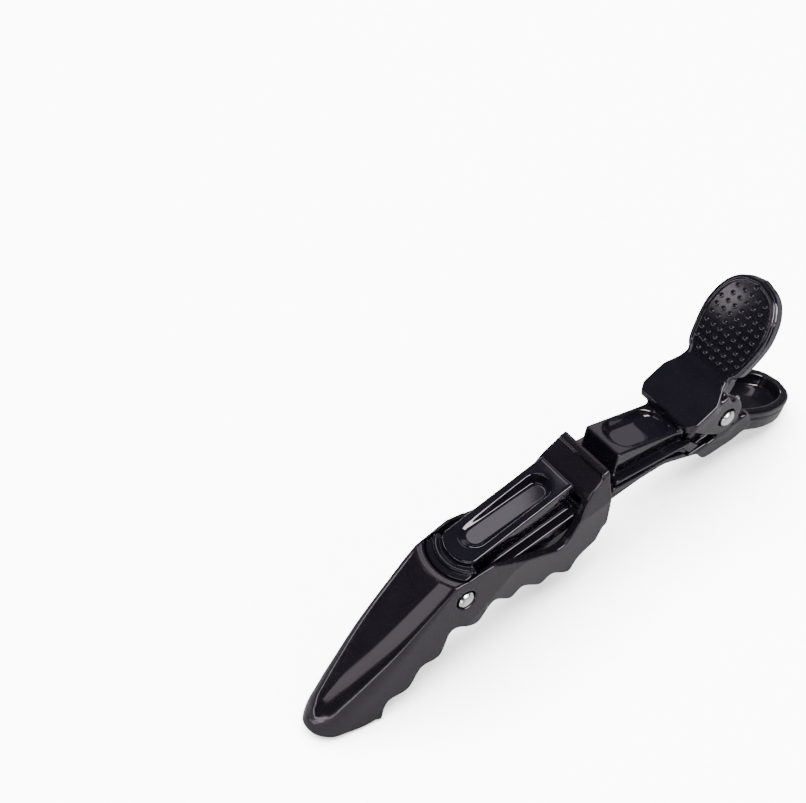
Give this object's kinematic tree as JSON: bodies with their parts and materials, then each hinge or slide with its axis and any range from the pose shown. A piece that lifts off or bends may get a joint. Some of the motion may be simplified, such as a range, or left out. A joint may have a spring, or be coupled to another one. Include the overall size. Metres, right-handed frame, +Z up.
{
  "type": "sectioning clip",
  "caption": "Double-hinged salon sectioning clip: spring-closed toothed jaws, a rocking upper jaw, a slotted arm and a dimpled thumb paddle.",
  "frame": {"origin": "on the table, under the middle of the clip's overall box, with the clip lying closed", "axes": "+X from the jaws to the handles, +Y across the clip, +Z up"},
  "size_m": [0.1126, 0.014, 0.0402],
  "materials": {
    "arm_plastic": "piano-gloss black moulding with thin bright rounded edges",
    "jaw_plastic": "gloss black moulding, satin on the side walls",
    "lever_plastic": "gloss black moulding, slightly softer than the arm",
    "pin_steel": "bright drawn steel pin with a polished, lightly chamfered end",
    "spring_steel": "bright drawn spring wire with faint lengthwise draw lines"
  },
  "bodies": {
    "lower_lever": {"lower_lever": "lever_plastic", "hinge_pin": "pin_steel", "torsion_spring": "spring_steel"},
    "upper_arm": {"upper_arm": "arm_plastic", "jaw_pin": "pin_steel"},
    "upper_jaw": {"upper_jaw": "jaw_plastic"}
  },
  "joints": [
    {"name": "main_hinge", "type": "hinge", "parent": "lower_lever", "child": "upper_arm", "pos_m": [0.0346, 0, 0.0175], "axis": [0, 1, 0], "range_deg": [0, 38], "stiffness_Nm_per_rad": 0.06, "springref_deg": -40.11, "deforming": ["torsion_spring"]},
    {"name": "jaw_rock", "type": "hinge", "parent": "upper_arm", "child": "upper_jaw", "pos_m": [-0.0251, 0, 0.0187], "axis": [0, 1, 0], "range_deg": [0, 5]}
  ]
}
